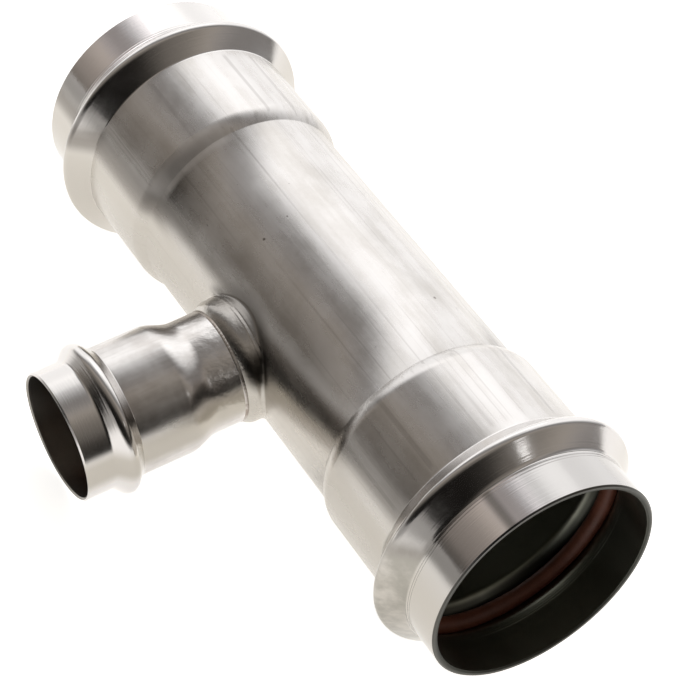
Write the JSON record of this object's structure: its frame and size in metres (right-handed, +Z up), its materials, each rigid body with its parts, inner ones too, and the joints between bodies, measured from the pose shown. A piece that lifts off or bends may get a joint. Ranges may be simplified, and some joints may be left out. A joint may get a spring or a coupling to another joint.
{
  "type": "press tee fitting",
  "caption": "Reducing press tee of stainless tube: a straight run with a beaded press socket at each end and a smaller welded branch with its own socket, O-rings seated in the beads.",
  "frame": {"origin": "where the axes of the run and the branch cross", "axes": "+X along the run, +Z up as the tee lies on a floor on its beads; the branch points to -Y and leans 14.4 degrees below level"},
  "size_m": [0.2552, 0.1516, 0.094],
  "materials": {
    "run_steel": "satin drawn tube, pickled",
    "branch_steel": "bright drawn tube",
    "weld_steel": "brushed weld ring",
    "seal_rubber": "matt red-brown rubber"
  },
  "bodies": {
    "root": {"run_tube": "run_steel", "branch_tube": "branch_steel", "branch_weld": "weld_steel", "run_seal_left": "seal_rubber", "run_seal_right": "seal_rubber", "branch_seal": "seal_rubber"}
  },
  "joints": []
}
